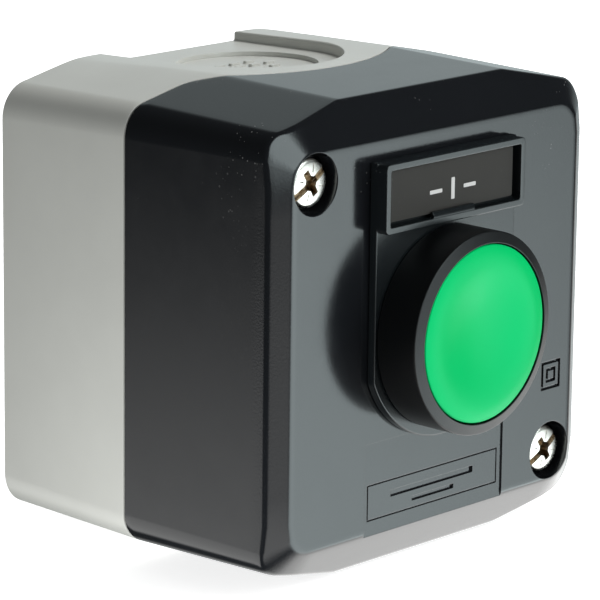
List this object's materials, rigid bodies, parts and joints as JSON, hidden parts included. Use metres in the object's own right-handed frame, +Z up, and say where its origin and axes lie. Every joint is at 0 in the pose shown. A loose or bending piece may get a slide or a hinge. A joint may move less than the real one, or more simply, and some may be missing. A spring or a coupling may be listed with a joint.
{
  "type": "push button control station",
  "caption": "Square wall-mounted control box with one round flush green push button, a legend plate holder, a two-tone split case and knock-out cable entries.",
  "frame": {"origin": "middle of the rear face, where the box meets the wall", "axes": "+X to the viewer's right, -Y out of the wall towards the viewer, +Z up"},
  "size_m": [0.068, 0.063, 0.069],
  "materials": {
    "light_grey_shell": "fine satin moulded polycarbonate",
    "dark_grey_shell": "fine satin moulded polycarbonate",
    "holder_plastic": "satin moulded plastic",
    "legend_insert": null,
    "black_plastic": "fine eroded texture",
    "green_button": "glossy moulded button face",
    "white_plastic": "smooth acetal",
    "rubber": "matt black rubber",
    "nickel_steel": "nickel-plated, lightly turned",
    "spring_steel": "bright drawn steel",
    "brass_contact": "bright brass with silver contact tips",
    "green_contact": "smooth acetal"
  },
  "bodies": {
    "enclosure": {"rear_base": "light_grey_shell", "front_lid": "dark_grey_shell", "lid_gasket": "rubber", "lid_screw_upper_left": "nickel_steel", "lid_screw_lower_right": "nickel_steel", "screw_washer_upper_left": "rubber", "screw_washer_lower_right": "rubber", "legend_holder": "holder_plastic", "legend_plate": "legend_insert", "head_bezel": "black_plastic", "head_gasket": "rubber", "head_seal_ring": "rubber", "return_spring": "spring_steel", "fixing_nut": "black_plastic", "contact_body": "black_plastic", "contact_cover": "black_plastic", "bridge_spring": "spring_steel", "contact_return_spring": "spring_steel", "fixed_contact_upper": "brass_contact", "fixed_contact_lower": "brass_contact", "terminal_clamp_upper": "spring_steel", "terminal_clamp_lower": "spring_steel", "terminal_screw_upper": "spring_steel", "terminal_screw_lower": "spring_steel"},
    "button": {"button_cap": "green_button", "button_plunger": "white_plastic"},
    "contact_carrier": {"contact_plunger": "green_contact"},
    "contact_bar": {"contact_bridge": "brass_contact"}
  },
  "joints": [
    {"name": "button_press", "type": "slide", "parent": "enclosure", "child": "button", "axis": [0, 1, 0], "range_m": [0, 0.004], "stiffness_N_per_m": 700, "springref_m": -0.004, "deforming": ["return_spring"]},
    {"name": "contact_push", "type": "slide", "parent": "enclosure", "child": "contact_carrier", "axis": [0, 1, 0], "range_m": [0, 0.004], "deforming": ["contact_return_spring"]},
    {"name": "contact_close", "type": "slide", "parent": "enclosure", "child": "contact_bar", "axis": [0, 1, 0], "range_m": [0, 0.0028], "deforming": ["bridge_spring"]}
  ],
  "couplings": [
    {"joint": "contact_push", "follows": "button_press", "ratio": 1},
    {"joint": "contact_close", "follows": "button_press", "ratio": 0.7}
  ]
}
